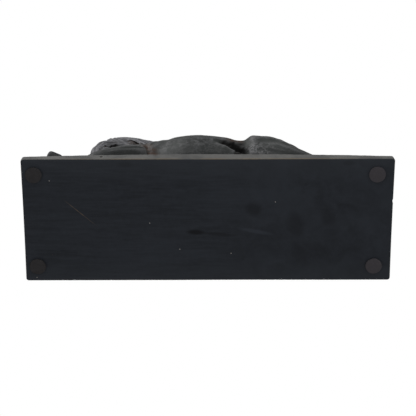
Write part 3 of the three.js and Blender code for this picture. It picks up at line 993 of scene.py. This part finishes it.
def undersideMaterial():
    # flat black paint wiped on in long streaks, with swirls, smears and one long scratch
    look = undersideLook
    material, tree, shader, place = newMaterial("paintedUnderside")
    streakPlace = put(tree, "ShaderNodeMapping", {"Vector": place, "Scale": (0.1, 1.0, 1.0)}).outputs[0]
    settings = {"Vector": streakPlace, "Scale": 260.0, "Detail": 6.0, "Roughness": 0.65}
    streaks = put(tree, "ShaderNodeTexNoise", settings).outputs["Fac"]
    settings = {"Vector": place, "Scale": 30.0, "Detail": 6.0, "Distortion": 1.2}
    swirls = put(tree, "ShaderNodeTexNoise", settings).outputs["Fac"]
    clouds = useGroup(tree, mottle, {"Place": place, "Scale": 16.0})
    cloud, grain = clouds["Cloud"], clouds["Grain"]
    axes = splitAxes(tree, place)

    toRight = between(tree, axes[0], 10 * mm, 70 * mm)
    pattern = put(tree, "ShaderNodeMix", {0: toRight, 2: streaks, 3: swirls}).outputs[0]
    pattern = reckon(tree, "ADD", times(tree, pattern, 0.75), times(tree, grain, 0.25))
    tone = blend(tree, between(tree, pattern, 0.27, 0.73), look["dark"], look["light"])
    tone = blend(tree, times(tree, between(tree, cloud, 0.35, 0.7), look["cloudShare"]), tone, look["light"])
    for x, y, turn, length, width, strength in look["smears"]:
        mask = spotMask(tree, place, x, y, math.radians(turn), length, width, 0.7)
        shade = look["smearLight"] if strength > 0 else look["smearDark"]
        tone = blend(tree, times(tree, mask, abs(strength)), tone, shade)

    x, y, turn, length, width = look["longScratch"]
    scratch = spotMask(tree, place, x, y, math.radians(turn), length, width, 0.5)
    broken = reckon(tree, "ADD", times(tree, between(tree, grain, 0.42, 0.56), 0.6), 0.4)
    tone = blend(tree, times(tree, scratch, broken), tone, look["scratch"])
    for x, y in look["specks"]:
        tone = blend(tree, spotMask(tree, place, x, y, 0.4, 0.8, 0.6, 0.6), tone, look["speck"])
    dots = useGroup(tree, specks, {"Place": place, "Scale": 140.0, "Size": 0.06, "Share": 0.03})["Mask"]
    tone = blend(tree, times(tree, dots, look["dustShare"]), tone, look["scratch"])
    nearEdges = between(tree, reckon(tree, "ABSOLUTE", axes[1]), 42 * mm, 74 * mm)
    tone = blend(tree, times(tree, nearEdges, look["edgeShare"]), tone, look["edge"])
    finish(tree, shader, tone, roughness=0.6, specular=0.25, strength=0.3, depth=0.3 * mm, height=pattern)
    return material


feltLook = {"dark": (0.028, 0.0265, 0.0275), "light": (0.052, 0.049, 0.051), "faded": (0.086, 0.078, 0.088)}


def feltMaterial():
    material, tree, shader, place = newMaterial("darkFelt")
    clouds = useGroup(tree, mottle, {"Place": place, "Scale": 160.0})
    tone = blend(tree, clouds["Cloud"], feltLook["dark"], feltLook["light"])
    # the pads at the right end are more faded
    toRight = between(tree, splitAxes(tree, place)[0], -100 * mm, 100 * mm, 0, 0.6)
    tone = blend(tree, toRight, tone, feltLook["faded"])
    grain = clouds["Grain"]
    finish(tree, shader, tone, roughness=0.95, specular=0.2, strength=0.6, depth=0.3 * mm, height=grain)
    return material


resin, underside, felt = resinMaterial(), undersideMaterial(), feltMaterial()

castingPiece = makeCasting()
castingPiece.data.materials.clear()
castingPiece.data.materials.append(resin)
castingPiece.data.materials.append(underside)
for face in castingPiece.data.polygons:
    face.material_index = int(face.center.z < undersideRim)
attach(castingPiece, "root")
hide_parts("reclining_horse")

for nodeName in sorted(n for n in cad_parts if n.startswith("pad_")):
    pad = makePad(nodeName)
    pad.data.materials.append(felt)
    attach(pad, "root")
    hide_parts(nodeName)
print("pads: four felt discs")

# stage: a pale floor that is clear from below, so that the underside can be seen from there

stageLook = {
    "floorSize": 12,
    "floorTone": (0.82, 0.82, 0.82),
    "floorGlow": 0.5,
    "floorFade": (0.35, 1.3),   # metres from the middle over which it runs into the white behind it
    "ambient": 0.34,
    "lampTarget": (0, 0, 0.05),
    # name, place, size, watts
    "lamps": [
        ("keyLamp", (-1.5, -1.6, 1.5), 1.0, 34),
        ("frontLamp", (0.9, -2.2, 0.1), 1.4, 9),
        ("backLamp", (0.1, 2.2, 1.4), 1.0, 36),
        ("lowLamp", (0.0, -1.3, -2.0), 1.6, 8),
    ],
}


def floorPiece():
    shape = bmesh.new()
    bmesh.ops.create_grid(shape, x_segments=1, y_segments=1, size=stageLook["floorSize"] / 2)
    mesh = bpy.data.meshes.new("floor")
    shape.to_mesh(mesh)
    shape.free()
    floor = bpy.data.objects.new("floor", mesh)
    bpy.context.collection.objects.link(floor)
    material, tree, shader, place = newMaterial("paleFloor")
    away = put(tree, "ShaderNodeVectorMath", {0: place}, operation="LENGTH").outputs["Value"]
    fading = between(tree, away, *stageLook["floorFade"])
    tree.links.new(blend(tree, fading, stageLook["floorTone"], (0, 0, 0)), shader.inputs["Base Color"])
    shader.inputs["Emission Color"].default_value = (1, 1, 1, 1)
    glow = between(tree, away, *stageLook["floorFade"], stageLook["floorGlow"], 1.0)
    tree.links.new(glow, shader.inputs["Emission Strength"])
    shader.inputs["Roughness"].default_value = 0.9
    fromBelow = put(tree, "ShaderNodeNewGeometry").outputs["Backfacing"]
    clear = put(tree, "ShaderNodeBsdfTransparent").outputs[0]
    mixed = put(tree, "ShaderNodeMixShader", {0: fromBelow, 1: shader.outputs[0], 2: clear})
    tree.links.new(mixed.outputs[0], tree.nodes["Material Output"].inputs["Surface"])
    mesh.materials.append(material)
    floor.visible_diffuse = False
    floor.visible_glossy = False
    floor.visible_shadow = False
    return floor


def lampTowards(name, place, size, watts):
    light = bpy.data.lights.new(name, "AREA")
    light.energy = watts
    light.size = size
    lamp = bpy.data.objects.new(name, light)
    bpy.context.collection.objects.link(lamp)
    lamp.location = place
    towards = Vector(stageLook["lampTarget"]) - Vector(place)
    lamp.rotation_euler = towards.to_track_quat("-Z", "Y").to_euler()


def whiteWorld():
    # the camera sees plain white, the object a softer light
    world = bpy.data.worlds.new("studio")
    bpy.context.scene.world = world
    world.use_nodes = True
    tree = world.node_tree
    toCamera = put(tree, "ShaderNodeLightPath").outputs["Is Camera Ray"]
    strength = put(tree, "ShaderNodeMapRange", {0: toCamera, 3: stageLook["ambient"], 4: 1.0}).outputs[0]
    tree.nodes["Background"].inputs["Color"].default_value = (1, 1, 1, 1)
    tree.links.new(strength, tree.nodes["Background"].inputs["Strength"])


floorPiece()
for row in stageLook["lamps"]:
    lampTowards(*row)
whiteWorld()

# camera: under the part, looking up at its underside and its front edge

photoView = {
    "elevation": -66,
    "roll": -0.12,
    "distance": 1.9035,
    "target": (0.0001, -0.0169, 0),
    "lens": 145.5,
}


def photoCamera():
    elevation, roll = math.radians(photoView["elevation"]), math.radians(photoView["roll"])
    forward = Vector((0, math.cos(elevation), -math.sin(elevation)))
    right = Vector((1, 0, 0))
    up = right.cross(forward)
    rolledRight = right * math.cos(roll) + up * math.sin(roll)
    rolledUp = up * math.cos(roll) - right * math.sin(roll)
    data = bpy.data.cameras.new("photoCamera")
    data.lens = photoView["lens"]
    data.clip_start = 0.05
    camera = bpy.data.objects.new("photoCamera", data)
    bpy.context.collection.objects.link(camera)
    for column, axis in enumerate((rolledRight, rolledUp, -forward)):
        for row in range(3):
            camera.matrix_world[row][column] = axis[row]
    camera.matrix_world.translation = Vector(photoView["target"]) - forward * photoView["distance"]
    bpy.context.scene.camera = camera


photoCamera()
bpy.context.scene.view_settings.view_transform = "Standard"
print("stage, lamps and camera are set")
